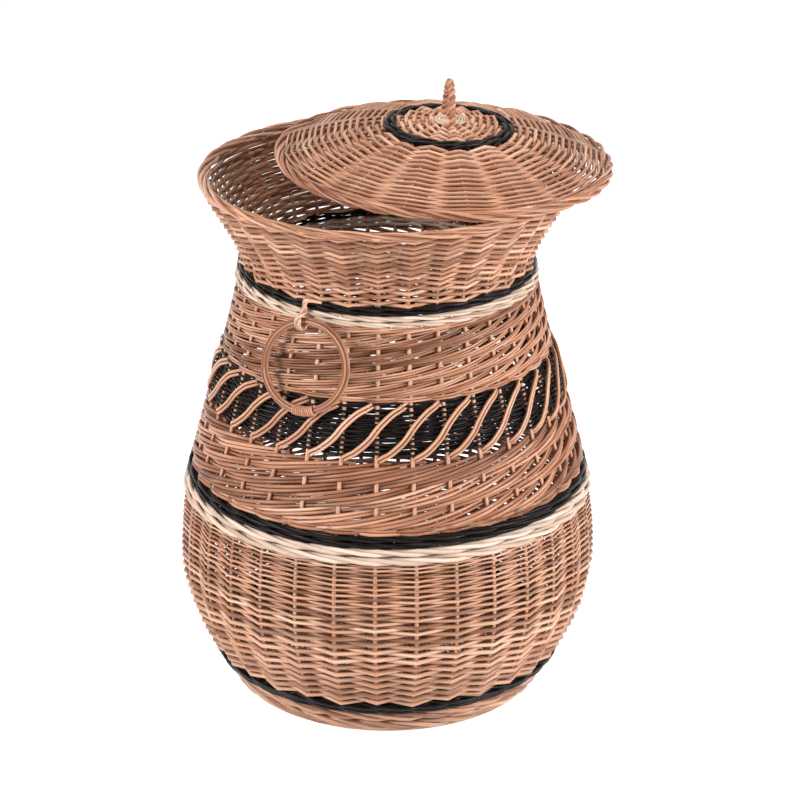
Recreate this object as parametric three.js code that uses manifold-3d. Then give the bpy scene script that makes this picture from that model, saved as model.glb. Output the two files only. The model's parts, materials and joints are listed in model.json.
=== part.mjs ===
// Jar-shaped woven willow laundry hamper with a lift-off domed lid and two ring handles.
// Millimetres, +Z up. The foot stands on z = 0 and the basket's axis is the Z axis.
import * as THREE from 'three';
import { mergeVertices } from 'three/addons/utils/BufferGeometryUtils.js';
import Module from 'manifold-3d';

// Wall shape: radii to the line of the stakes
const footRadius = 168;
const bellyRadius = 230.5;
const neckRadius = 158.8;
const rimRadius = 202;
const bellyLevel = 157;
const shoulderEndSlope = 0.6;
const collarEndSlope = 0.9;

// Heights of the bands, from the floor up
const footBorderHeight = 37;
const footBandHeight = 11;
const bellyLowerHeight = 109;
const bellyUpperHeight = 74;
const bellyWhiteHeight = 18;
const bellyBlackHeight = 13;
const shoulderLowerHeight = 81;
const openBandHeight = 62;
const openBandSlit = 7;
const shoulderUpperHeight = 76;
const neckWhiteHeight = 13;
const neckBlackHeight = 10;
const collarHeight = 86;

// Rods
const stakeCount = 32;
const stakeTurn = -93.3;
const stakeThick = 5;
const weaverThick = 3.2;
const braceWidth = 8;
const braceThick = 4;
const braceRootWidth = 3.6;
const braceSpan = 2;
const braceReach = 2;
const seatGap = 0.3;
const slideGap = 0.5;
const rowGap = 1.2;
const rowJoin = 7;

// Borders and base
const footBorderThick = 12;
const rimBorderThick = 13;
const baseSticks = 8;
const baseTurn = 5;
const baseHubRadius = 26;

// Lid
const lidBorderRadius = 179;
const lidBorderThick = 14;
const lidRise = 42;
const lidDomePower = 1.8;
const lidSticks = 8;
const lidTurn = 7.5;
const lidHubRim = 2.7;
const lidCentreRadius = 62;
const lidBandWidth = 11;
const lidShift = 62;
const lidTiltRight = 2.6;
const lidTiltFront = 1;
const lidHandleSpan = 46;
const lidHandleHeight = 43;
const lidHandleThick = 8;
const lidHandleTurn = 9.6;

// Ring handles
const ringDiameter = 96;
const ringThick = 9;
const ringDrop = 21;
const ringPlace = -2.5;
const leftRingSway = 14;
const rightRingSway = -4;
const eyeGap = 0.7;
const loopThick = 4.8;
const bindingArc = 30;
const bindingThick = 1.1;

// Facets
const borderSteps = 48;
const borderSides = 8;
const ringSteps = 36;
const ringSides = 8;
const loopSides = 6;
const handleSteps = 18;
const bindingSteps = 4;
const seatSamples = 720;

const buff = new THREE.MeshStandardMaterial({ color: 0xc08a66, roughness: 0.6, metalness: 0 });
const black = new THREE.MeshStandardMaterial({ color: 0x2b2627, roughness: 0.5, metalness: 0 });
const white = new THREE.MeshStandardMaterial({ color: 0xe6d3b8, roughness: 0.6, metalness: 0 });

const wasm = await Module();
wasm.setup();

const stakeStep = (2 * Math.PI) / stakeCount;
const firstStake = THREE.MathUtils.degToRad(stakeTurn);
const weaveSwing = stakeThick / 2 + seatGap + weaverThick / 2;
const weaveHalf = weaveSwing + weaverThick / 2;
const radial = { r: 1, z: 0 };
const axial = { r: 0, z: 1 };

// Bands of the wall in building order; each weaves over the stakes that the one below goes behind
const wallBands = [
  { name: 'foot_band_black', height: footBandHeight, steps: 1, material: black },
  { name: 'belly_weave_lower', height: bellyLowerHeight, steps: 3, rows: 6, material: buff },
  { name: 'belly_weave_upper', height: bellyUpperHeight, steps: 2, rows: 4, material: buff },
  { name: 'belly_band_white', height: bellyWhiteHeight, steps: 1, material: white },
  { name: 'belly_band_black', height: bellyBlackHeight, steps: 1, material: black },
  { name: 'shoulder_weave_lower', height: shoulderLowerHeight, steps: 1, material: buff },
  { name: 'open_band_black', height: openBandHeight, steps: 1, material: black, slit: openBandSlit },
  { name: 'shoulder_weave_upper', height: shoulderUpperHeight, steps: 1, material: buff },
  { name: 'neck_band_white', height: neckWhiteHeight, steps: 1, material: white },
  { name: 'neck_band_black', height: neckBlackHeight, steps: 1, material: black },
  { name: 'collar_weave', height: collarHeight, steps: 3, material: buff },
];

// Floor height of each band, and every height at which the stakes bend
const wallLevels = [footBorderHeight];
for (const band of wallBands) {
  band.low = wallLevels.at(-1);
  for (let i = 1; i <= band.steps; i += 1) {
    wallLevels.push(band.low + (band.height * i) / band.steps);
  }
  band.high = wallLevels.at(-1);
}
const bandNamed = (name) => wallBands.find((band) => band.name === name);
const neckLevel = bandNamed('neck_band_black').high;
const wallTop = wallLevels.at(-1);
const rimLevel = wallTop + rimBorderThick / 2;

// Cubic from a to b that starts level and ends at the given slope
function ease(a, b, u, endSlope) {
  return a + (b - a) * (3 * u ** 2 - 2 * u ** 3 + endSlope * (u ** 3 - u ** 2));
}

// Radius of the smooth jar at height z
function jarRadius(z) {
  if (z < bellyLevel) {
    return footRadius + (bellyRadius - footRadius) * Math.sin((Math.PI / 2) * (z / bellyLevel));
  }
  if (z < neckLevel) {
    return ease(bellyRadius, neckRadius, (z - bellyLevel) / (neckLevel - bellyLevel), shoulderEndSlope);
  }
  return ease(neckRadius, rimRadius, (z - neckLevel) / (rimLevel - neckLevel), collarEndSlope);
}

// Radius of the faceted wall, straight between the heights where the stakes bend
function wallRadius(z) {
  const above = Math.max(1, wallLevels.findIndex((level) => level >= z - 1e-6));
  const low = wallLevels[above - 1];
  const high = wallLevels[above];
  return THREE.MathUtils.mapLinear(z, low, high, jarRadius(low), jarRadius(high));
}

// Height of the lid's middle surface over its border, at radius r
function lidHeight(r) {
  return lidRise * (1 - (r / lidBorderRadius) ** lidDomePower);
}

function turned(r, angle, z) {
  return new THREE.Vector3(r * Math.cos(angle), r * Math.sin(angle), z);
}

// Solid through a row of like sections; a closed row joins its last section to its first
function loft(sections, closed) {
  const around = sections[0].length;
  const position = sections.flat().flatMap((p) => [p.x, p.y, p.z]);
  const index = [];
  const spans = closed ? sections.length : sections.length - 1;
  for (let i = 0; i < spans; i += 1) {
    const here = i * around;
    const next = ((i + 1) % sections.length) * around;
    for (let j = 0; j < around; j += 1) {
      const k = (j + 1) % around;
      index.push(here + j, next + j, next + k, here + j, next + k, here + k);
    }
  }
  if (!closed) {
    const last = spans * around;
    for (let j = 1; j < around - 1; j += 1) {
      index.push(0, j, j + 1, last, last + j + 1, last + j);
    }
  }
  const geometry = new THREE.BufferGeometry();
  geometry.setAttribute('position', new THREE.Float32BufferAttribute(position, 3));
  geometry.setIndex(index);
  return facedOut(geometry);
}

// Turns every face round if the solid is inside out
function facedOut(geometry) {
  const p = geometry.attributes.position;
  const corner = (i) => new THREE.Vector3().fromBufferAttribute(p, geometry.index.getX(i));
  let volume = 0;
  for (let i = 0; i < geometry.index.count; i += 3) {
    volume += corner(i).dot(corner(i + 1).cross(corner(i + 2)));
  }
  if (volume < 0) {
    geometry.setIndex(Array.from(geometry.index.array).reverse());
  }
  return geometry;
}

function toSolid(geometry) {
  const bare = geometry.clone();
  bare.deleteAttribute('normal');
  bare.deleteAttribute('uv');
  const merged = mergeVertices(bare, 1e-4);
  return new wasm.Manifold(new wasm.Mesh({
    numProp: 3,
    vertProperties: new Float32Array(merged.attributes.position.array),
    triVerts: new Uint32Array(merged.index.array),
  }));
}

function toGeometry(solid) {
  const mesh = solid.getMesh();
  const geometry = new THREE.BufferGeometry();
  geometry.setAttribute('position', new THREE.BufferAttribute(mesh.vertProperties, 3));
  geometry.setIndex(new THREE.BufferAttribute(mesh.triVerts, 1));
  return geometry;
}

function joined(geometries) {
  return toGeometry(geometries.map(toSolid).reduce((whole, solid) => whole.add(solid)));
}

function cut(geometry, cutters) {
  return toGeometry(cutters.map(toSolid).reduce((whole, solid) => whole.subtract(solid), toSolid(geometry)));
}

function addPiece(parent, name, geometry, material) {
  const mesh = new THREE.Mesh(geometry, material);
  mesh.name = name;
  parent.add(mesh);
  return mesh;
}

// Ring of weavers that goes outside one stake and inside the next
function weaveRing({ count, turn, levels, across, first }) {
  const sections = [];
  for (let k = 0; k < count; k += 1) {
    const angle = turn + (2 * Math.PI * k) / count;
    const swing = (k + first) % 2 === 0 ? weaveSwing : -weaveSwing;
    const face = (side) => levels.map(({ r, z }) => {
      const off = swing + (side * weaverThick) / 2;
      return turned(r + off * across.r, angle, z + off * across.z);
    });
    sections.push([...face(1), ...face(-1).reverse()]);
  }
  return loft(sections, true);
}

// Rows of weavers between the given edges: each row passes the other side of every stake from the rows
// next to it, and the rows are joined for a short way midway between the stakes
function wovenRing({ count, turn, edges, across, first }) {
  const position = [];
  const index = [];
  const spot = ({ r, z }, angle, off) => {
    const p = turned(r + off * across.r, angle, z + off * across.z);
    return position.push(p.x, p.y, p.z) / 3 - 1;
  };
  const between = (a, b, share) => ({
    r: THREE.MathUtils.lerp(a.r, b.r, share),
    z: THREE.MathUtils.lerp(a.z, b.z, share),
  });
  const half = weaverThick / 2;
  const step = (2 * Math.PI) / count;
  const join = rowJoin / (step * edges.at(-1).r);
  const rows = edges.slice(1).map((edge, row) => [edges[row], edge]);

  // At a stake each row has a section of its own
  const atStake = (k) => rows.map(([low, high], row) => {
    const angle = turn + step * k;
    const swing = (k + row + first) % 2 === 0 ? weaveSwing : -weaveSwing;
    const gap = rowGap / Math.hypot(high.r - low.r, high.z - low.z);
    const foot = between(low, high, gap / 2);
    const head = between(low, high, 1 - gap / 2);
    return [
      spot(foot, angle, swing + half),
      spot(head, angle, swing + half),
      spot(head, angle, swing - half),
      spot(foot, angle, swing - half),
    ];
  });
  // At a join neighbouring rows share their edge
  const atJoin = (along) => {
    const angle = turn + step * along;
    const pairs = edges.map((edge) => [spot(edge, angle, half), spot(edge, angle, -half)]);
    return pairs.slice(1).map((high, row) => [pairs[row][0], high[0], high[1], pairs[row][1]]);
  };
  const wall = (from, to, side) => {
    const next = (side + 1) % 4;
    index.push(from[side], from[next], to[next], from[side], to[next], to[side]);
  };
  const stakeSections = Array.from({ length: count }, (_, k) => atStake(k));
  for (let k = 0; k < count; k += 1) {
    const before = atJoin(k + (1 - join) / 2);
    const after = atJoin(k + (1 + join) / 2);
    const next = stakeSections[(k + 1) % count];
    for (let row = 0; row < rows.length; row += 1) {
      for (let side = 0; side < 4; side += 1) {
        wall(stakeSections[k][row], before[row], side);
        wall(after[row], next[row], side);
      }
      wall(before[row], after[row], 0);
      wall(before[row], after[row], 2);
    }
    wall(before.at(-1), after.at(-1), 1);
    wall(before[0], after[0], 3);
  }
  const geometry = new THREE.BufferGeometry();
  geometry.setAttribute('position', new THREE.Float32BufferAttribute(position, 3));
  geometry.setIndex(index);
  return facedOut(geometry);
}

// Four-sided rod along the given levels, lying in the plane at the given angle
function stick({ levels, across, turn = 0 }) {
  const half = stakeThick / 2;
  const side = turned(half, turn + Math.PI / 2, 0);
  const sections = levels.map(({ r, z }) => {
    const middle = turned(r, turn, z);
    return [
      turned(r + half * across.r, turn, z + half * across.z),
      middle.clone().add(side),
      turned(r - half * across.r, turn, z - half * across.z),
      middle.clone().sub(side),
    ];
  });
  return loft(sections, false);
}

// Sticks that cross at the middle, bound into one hub
function crossedSticks({ count, turn, levels, hub }) {
  const ends = [...levels].reverse().map(({ r, z }) => ({ r: -r, z }));
  const sticks = Array.from({ length: count }, (_, i) => stick({
    levels: [...ends, ...levels],
    across: axial,
    turn: turn + (Math.PI * i) / count,
  }));
  return joined([hub, ...sticks]);
}

// Corner radius of a ring of straight runs whose middles clear the given radius
function cornerRadius(radius, count) {
  return (radius + seatGap) / Math.cos(Math.PI / count);
}

// Round disc between two heights
function disc(radius, low, high) {
  const geometry = new THREE.CylinderGeometry(radius, radius, high - low, borderSteps / 2);
  return geometry.rotateX(Math.PI / 2).translate(0, 0, (low + high) / 2);
}

// Brace: leaves its stake through the lower slit, crosses the open band and ends braceSpan stakes on
function brace() {
  const band = bandNamed('open_band_black');
  const out = weaveHalf + slideGap + braceThick / 2;
  const low = band.low + band.slit / 2;
  const high = band.high - band.slit / 2;
  const end = braceSpan - (2 * stakeThick) / (stakeStep * wallRadius(high));
  const path = [
    { along: 0, rise: 0, off: 0, width: braceRootWidth },
    { along: 0.12, rise: 0, off: out, width: braceRootWidth },
    { along: 0.3, rise: 0.16, off: out, width: braceWidth },
    { along: 0.5, rise: 0.5, off: out, width: braceWidth },
    { along: 0.7, rise: 0.84, off: out, width: braceWidth },
    { along: 0.9, rise: 1, off: out, width: braceRootWidth },
    { along: 1, rise: 1, off: weaverThick + braceReach, width: braceRootWidth },
  ];
  const middles = path.map(({ along, rise, off }) => {
    const z = THREE.MathUtils.lerp(low, high, rise);
    return { r: wallRadius(z) + off, angle: along * end * stakeStep, z };
  });
  const sections = path.map(({ width }, i) => {
    const { r, angle, z } = middles[i];
    const before = middles[Math.max(0, i - 1)];
    const after = middles[Math.min(path.length - 1, i + 1)];
    const forward = new THREE.Vector2((after.angle - before.angle) * r, after.z - before.z).normalize();
    const across = (width / 2) * forward.x;
    const back = ((width / 2) * forward.y) / r;
    return [
      turned(r + braceThick / 2, angle, z),
      turned(r, angle - back, z + across),
      turned(r - braceThick / 2, angle, z),
      turned(r, angle + back, z - across),
    ];
  });
  return loft(sections, false);
}

// Closed tube along points in the radial plane
function closedTube(points, radius) {
  const sections = points.map(([r, z], i) => {
    const before = points[(i + points.length - 1) % points.length];
    const after = points[(i + 1) % points.length];
    const forward = new THREE.Vector2(after[0] - before[0], after[1] - before[1]).normalize();
    return Array.from({ length: loopSides }, (_, j) => {
      const angle = (2 * Math.PI * j) / loopSides;
      const inPlane = radius * Math.cos(angle);
      return new THREE.Vector3(r + forward.y * inPlane, radius * Math.sin(angle), z - forward.x * inPlane);
    });
  });
  return loft(sections, true);
}

// Basket
const basket = new THREE.Group();

const baseMiddle = weaveHalf;
const baseAngle = THREE.MathUtils.degToRad(baseTurn);
const baseRadius = footRadius - footBorderThick / 2 - seatGap;
const baseHub = disc(baseHubRadius, 0, 2 * baseMiddle);
addPiece(basket, 'base_sticks', crossedSticks({
  count: baseSticks,
  turn: baseAngle,
  levels: [{ r: baseRadius, z: baseMiddle }],
  hub: baseHub,
}), buff);
addPiece(basket, 'base_weave', weaveRing({
  count: 2 * baseSticks,
  turn: baseAngle,
  levels: [
    { r: cornerRadius(baseHubRadius, 2 * baseSticks), z: baseMiddle },
    { r: baseRadius, z: baseMiddle },
  ],
  across: axial,
  first: 1,
}), buff);

const footLevels = [0, footBorderHeight / 3, (2 * footBorderHeight) / 3, footBorderHeight - seatGap];
const footSide = (side) => footLevels.map((z) => new THREE.Vector2(jarRadius(z) + (side * footBorderThick) / 2, z));
const footOutline = [...footSide(1), ...footSide(-1).reverse()];
addPiece(basket, 'foot_border', facedOut(mergeVertices(new THREE.LatheGeometry(
  [...footOutline, footOutline[0]],
  borderSteps,
).rotateX(Math.PI / 2).deleteAttribute('normal').deleteAttribute('uv'), 1e-4)), buff);

addPiece(basket, 'rim_border', new THREE.TorusGeometry(
  rimRadius,
  rimBorderThick / 2,
  borderSides,
  borderSteps,
), buff).position.z = rimLevel;

const stakeLevels = wallLevels.map((z) => ({ r: jarRadius(z), z }));
stakeLevels.at(-1).z -= seatGap;
const stakeGeometry = joined([stick({ levels: stakeLevels, across: radial }), brace()]);
for (let k = 0; k < stakeCount; k += 1) {
  const stake = addPiece(basket, `stake_${String(k + 1).padStart(2, '0')}`, stakeGeometry, buff);
  stake.rotation.z = firstStake + k * stakeStep;
}

// Ring handles: each hangs in a loop that goes round the black neck band, between two stakes
const loopRadius = loopThick / 2;
const tubeRadius = ringThick / 2;
const ringTop = neckLevel - ringDrop;
const stakeSpacing = stakeStep * neckRadius;
const bandFace = weaverThick / 2 + (2 * weaveSwing * loopRadius) / stakeSpacing;
const loopOff = bandFace + slideGap + loopRadius;
const eye = loopRadius + eyeGap + tubeRadius;
const ringTopRadius = wallRadius(ringTop) + loopOff + eye;
const ringStandOff = weaveHalf + slideGap + braceThick + seatGap + tubeRadius + seatGap + bindingThick;

// Lean that lays the ring's lower edge on the braces
let ringLean = 0;
for (let i = 0; i < 8; i += 1) {
  const bottom = ringTop - ringDiameter * Math.cos(ringLean);
  ringLean = Math.asin((wallRadius(bottom) + ringStandOff - ringTopRadius) / ringDiameter);
}

const lowSeam = bandNamed('neck_band_black').low;
const bandRadius = wallRadius((lowSeam + neckLevel) / 2);
const loopPath = [
  [ringTopRadius + eye, ringTop],
  [ringTopRadius + eye * Math.SQRT1_2, ringTop - eye * Math.SQRT1_2],
  [ringTopRadius, ringTop - eye],
  [ringTopRadius - eye * Math.SQRT1_2, ringTop - eye * Math.SQRT1_2],
  [ringTopRadius - eye, ringTop],
  [bandRadius + loopOff, lowSeam - loopRadius],
  [bandRadius, lowSeam],
  [bandRadius - loopOff, lowSeam + loopRadius / 2],
  [bandRadius - loopOff - loopRadius / 2, (lowSeam + neckLevel) / 2],
  [bandRadius - loopOff, neckLevel - loopRadius / 2],
  [bandRadius, neckLevel],
  [bandRadius + loopOff, neckLevel - loopRadius / 2],
  [ringTopRadius + eye / 2, (lowSeam + neckLevel) / 2],
];
const loopGeometry = closedTube(loopPath, loopRadius);

const ringPlaces = [
  { side: 'left', angle: firstStake + ringPlace * stakeStep, sway: leftRingSway },
  { side: 'right', angle: firstStake + ringPlace * stakeStep + Math.PI, sway: rightRingSway },
];
const loopHoles = ringPlaces.map(({ angle }) => closedTube(loopPath, loopRadius + seatGap).rotateZ(angle));

// Wall bands, with holes where the ring loops pass
wallBands.forEach((band, i) => {
  const slit = band.slit ?? seatGap / 2;
  const bends = wallLevels.filter((z) => z > band.low + slit && z < band.high - slit);
  const seams = Array.from({ length: (band.rows ?? 1) - 1 }, (_, row) => {
    return band.low + (band.height * (row + 1)) / band.rows;
  });
  const inside = band.rows ? seams : bends;
  const levels = [band.low + slit, ...inside, band.high - slit].map((z) => ({ r: wallRadius(z), z }));
  const place = { count: stakeCount, turn: firstStake, across: radial, first: i };
  const ring = band.rows ? wovenRing({ ...place, edges: levels }) : weaveRing({ ...place, levels });
  const looped = band.low - loopThick < neckLevel && band.high + loopThick > lowSeam;
  addPiece(basket, band.name, looped ? cut(ring, loopHoles) : ring, band.material);
});

// Ring in the XZ plane with its top at the origin, hanging down, and the binding round its lowest part
const ringRadius = ringDiameter / 2;
const ringGeometry = new THREE.TorusGeometry(ringRadius, tubeRadius, ringSides, ringSteps);
ringGeometry.rotateZ(-Math.PI / 2).rotateX(Math.PI / 2).rotateZ(Math.PI / 2).translate(0, 0, -ringRadius);

function bindingGeometry() {
  const arc = THREE.MathUtils.degToRad(bindingArc);
  const shell = (radius) => {
    const sections = Array.from({ length: bindingSteps + 1 }, (_, i) => {
      const angle = -Math.PI / 2 - arc / 2 + (arc * i) / bindingSteps;
      return Array.from({ length: ringSides }, (_unused, j) => {
        const turn = (2 * Math.PI * j) / ringSides;
        const r = ringRadius + radius * Math.cos(turn);
        return new THREE.Vector3(radius * Math.sin(turn), r * Math.cos(angle), r * Math.sin(angle) - ringRadius);
      });
    });
    return loft(sections, false);
  };
  const outer = shell(tubeRadius + seatGap + bindingThick);
  const bore = new THREE.TorusGeometry(ringRadius, tubeRadius + seatGap, ringSides, ringSteps);
  bore.rotateX(Math.PI / 2).rotateZ(Math.PI / 2).translate(0, 0, -ringRadius);
  return cut(outer, [bore]);
}

for (const { side, angle, sway } of ringPlaces) {
  const place = new THREE.Group();
  place.rotation.z = angle;
  basket.add(place);
  addPiece(place, `ring_loop_${side}`, loopGeometry, buff);
  const hanging = new THREE.Group();
  hanging.position.set(ringTopRadius, 0, ringTop);
  hanging.rotation.set(THREE.MathUtils.degToRad(sway), -ringLean, 0, 'YXZ');
  place.add(hanging);
  addPiece(hanging, `ring_handle_${side}`, ringGeometry, buff);
  addPiece(hanging, `ring_binding_${side}`, bindingGeometry(), buff);
}

// Lid, in its own frame: the middle of its border ring is the origin
const lid = new THREE.Group();
const lidAngle = THREE.MathUtils.degToRad(lidTurn);
const lidWeaveRadius = lidBorderRadius - lidBorderThick / 2 - seatGap;
const lidBandRadius = lidCentreRadius + lidBandWidth;
const lidHubRadius = lidHandleSpan / 2 + lidHandleThick / 2 + seatGap + lidHubRim;
const lidHubEdge = cornerRadius(lidHubRadius, 2 * lidSticks);
const lidRadii = [lidHubEdge, lidCentreRadius, lidBandRadius, (lidBandRadius + lidWeaveRadius) / 2, lidWeaveRadius];
const lidLevels = lidRadii.map((r) => ({ r, z: lidHeight(r) }));
const lidTop = lidHeight(lidHubEdge) + weaveHalf;

// Straight between the radii where the sticks bend
function lidLevel(r) {
  const outer = Math.max(1, lidRadii.findIndex((radius) => radius >= r - 1e-6));
  const low = lidLevels[outer - 1];
  const high = lidLevels[outer];
  return { r, z: THREE.MathUtils.mapLinear(r, low.r, high.r, low.z, high.z) };
}

class HandleArch extends THREE.Curve {
  getPoint(t) {
    const radius = lidHandleSpan / 2;
    const leg = lidHandleHeight - radius + 2 * weaveHalf;
    const along = t * (2 * leg + Math.PI * radius) - leg;
    const bottom = lidTop - 2 * weaveHalf;
    if (along < 0) {
      return new THREE.Vector3(0, -radius, bottom + leg + along);
    }
    if (along > Math.PI * radius) {
      return new THREE.Vector3(0, radius, bottom + leg - (along - Math.PI * radius));
    }
    const turn = along / radius;
    return new THREE.Vector3(0, -radius * Math.cos(turn), bottom + leg + radius * Math.sin(turn));
  }
}

function archTube(radius) {
  const round = new THREE.Shape().absarc(0, 0, radius, 0, 2 * Math.PI);
  return new THREE.ExtrudeGeometry(round, {
    curveSegments: ringSides / 2,
    steps: handleSteps,
    extrudePath: new HandleArch(),
  }).rotateZ(THREE.MathUtils.degToRad(lidHandleTurn));
}

const lidHub = disc(lidHubRadius, lidTop - 2 * weaveHalf, lidTop);
addPiece(lid, 'lid_sticks', cut(crossedSticks({
  count: lidSticks,
  turn: lidAngle,
  levels: lidLevels,
  hub: lidHub,
}), [archTube(lidHandleThick / 2 + seatGap)]), buff);
addPiece(lid, 'lid_handle', archTube(lidHandleThick / 2), buff);

const lidBands = [
  { name: 'lid_centre_weave', low: lidHubEdge, high: lidCentreRadius, material: buff },
  { name: 'lid_band_black', low: lidCentreRadius, high: lidBandRadius, material: black },
  { name: 'lid_weave', low: lidBandRadius, high: lidWeaveRadius, rows: 6, material: buff },
];
lidBands.forEach(({ name, low, high, rows, material }, i) => {
  const bends = lidRadii.filter((r) => r > low && r < high);
  const seams = Array.from({ length: (rows ?? 1) - 1 }, (_, row) => low + ((high - low) * (row + 1)) / rows);
  const levels = [low + seatGap / 2, ...(rows ? seams : bends), high - seatGap / 2].map(lidLevel);
  const place = { count: 2 * lidSticks, turn: lidAngle, across: axial, first: i };
  addPiece(lid, name, rows ? wovenRing({ ...place, edges: levels }) : weaveRing({ ...place, levels }), material);
});
addPiece(lid, 'lid_border', new THREE.TorusGeometry(
  lidBorderRadius,
  lidBorderThick / 2,
  borderSides,
  borderSteps,
), buff);

// The lid lies askew, let down until its border meets the rim
lid.rotation.set(THREE.MathUtils.degToRad(lidTiltFront), THREE.MathUtils.degToRad(lidTiltRight), 0);
function lidSeat() {
  const reach = (rimBorderThick + lidBorderThick) / 2 + seatGap;
  let height = 0;
  for (let i = 0; i < seatSamples; i += 1) {
    const p = turned(lidBorderRadius, (2 * Math.PI * i) / seatSamples, 0).applyEuler(lid.rotation);
    const apart = Math.hypot(p.x + lidShift, p.y) - rimRadius;
    if (Math.abs(apart) < reach) {
      height = Math.max(height, rimLevel + Math.sqrt(reach ** 2 - apart ** 2) - p.z);
    }
  }
  return height;
}
lid.position.set(lidShift, 0, lidSeat());

const hamper = new THREE.Group();
hamper.add(basket, lid);

export default hamper;
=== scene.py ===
import json
import math
import bpy
import numpy as np
from mathutils import Matrix, Vector


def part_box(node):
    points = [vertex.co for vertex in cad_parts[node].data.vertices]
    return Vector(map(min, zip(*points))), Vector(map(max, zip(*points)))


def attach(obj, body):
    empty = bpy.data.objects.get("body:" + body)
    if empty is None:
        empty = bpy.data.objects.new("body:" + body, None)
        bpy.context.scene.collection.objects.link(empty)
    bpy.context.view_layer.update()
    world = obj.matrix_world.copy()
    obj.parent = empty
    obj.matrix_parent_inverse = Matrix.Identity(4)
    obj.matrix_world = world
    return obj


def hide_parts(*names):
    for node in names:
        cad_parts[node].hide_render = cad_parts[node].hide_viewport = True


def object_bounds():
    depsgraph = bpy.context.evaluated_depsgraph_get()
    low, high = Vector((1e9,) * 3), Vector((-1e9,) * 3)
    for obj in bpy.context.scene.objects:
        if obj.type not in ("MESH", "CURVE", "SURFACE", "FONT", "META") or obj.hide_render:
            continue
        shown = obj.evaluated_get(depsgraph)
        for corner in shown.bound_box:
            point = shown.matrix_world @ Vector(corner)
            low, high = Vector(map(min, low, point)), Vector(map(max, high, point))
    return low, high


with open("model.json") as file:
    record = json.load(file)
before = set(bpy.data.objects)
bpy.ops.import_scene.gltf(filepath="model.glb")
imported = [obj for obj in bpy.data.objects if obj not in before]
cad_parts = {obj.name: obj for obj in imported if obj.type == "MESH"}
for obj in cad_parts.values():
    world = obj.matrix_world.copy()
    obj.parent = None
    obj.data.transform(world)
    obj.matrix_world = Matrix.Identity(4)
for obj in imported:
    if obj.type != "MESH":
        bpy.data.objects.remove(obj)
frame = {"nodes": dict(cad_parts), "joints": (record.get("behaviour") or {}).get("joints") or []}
cadLow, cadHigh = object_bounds()
print("frame loaded:", len(frame["nodes"]), "nodes")

mm = 0.001
rng = np.random.default_rng(32)  # every small unevenness comes from this one seed

# Willow: one rod effect, three finishes

willow = {
    # noises, stretched per metre along the rod and across it
    "streaks": {"stretch": (22.0, 950.0, 950.0), "detail": 3.0},
    "patches": {"stretch": (9.0, 45.0, 45.0), "detail": 2.0},
    "flecks": {"stretch": (120.0, 420.0, 420.0), "detail": 1.0},
    "patchShare": 0.5, "fleckFrom": 0.68, "fleckEdge": 9.0,
    "streakRoughness": 0.25, "fleckHeight": 0.5,
    "bumpStrength": 0.35, "bumpDistance": 0.0004,
    "placeSpread": 40.0,  # metres of noise that the rods are dealt out over
    "paintedShade": (0.33, 0.25, 0.21, 1.0),  # painted shade: the share of a rod's colour left along its sides, where the next rod lies and shade falls between the rods
    "paintedShadeReach": 0.75,
}


def addNode(tree, kind, **values):
    node = tree.nodes.new(kind)
    for key, value in values.items():
        setattr(node, key, value)
    return node


def mathNode(tree, operation, *values, clamp=False):
    node = addNode(tree, "ShaderNodeMath", operation=operation, use_clamp=clamp)
    for socket, value in zip(node.inputs, values):
        if isinstance(value, (int, float)):
            socket.default_value = value
        else:
            tree.links.new(value, socket)
    return node.outputs[0]


def mixColour(tree, share, first, second, blend="MIX"):
    node = addNode(tree, "ShaderNodeMix", data_type="RGBA", blend_type=blend)
    shareSocket, firstSocket, secondSocket = (node.inputs[k] for k in (0, 6, 7))  # those for colours
    tree.links.new(share, shareSocket)
    tree.links.new(first, firstSocket)
    if isinstance(second, tuple):
        secondSocket.default_value = second
    else:
        tree.links.new(second, secondSocket)
    return node.outputs[2]


def rodNoise(tree, spot, stretch, detail):
    mapping = addNode(tree, "ShaderNodeMapping")
    mapping.inputs["Scale"].default_value = stretch
    noise = addNode(tree, "ShaderNodeTexNoise")
    noise.inputs["Scale"].default_value = 1.0
    noise.inputs["Detail"].default_value = detail
    tree.links.new(spot, mapping.inputs["Vector"])
    tree.links.new(mapping.outputs["Vector"], noise.inputs["Vector"])
    return noise.outputs["Fac"]


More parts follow.
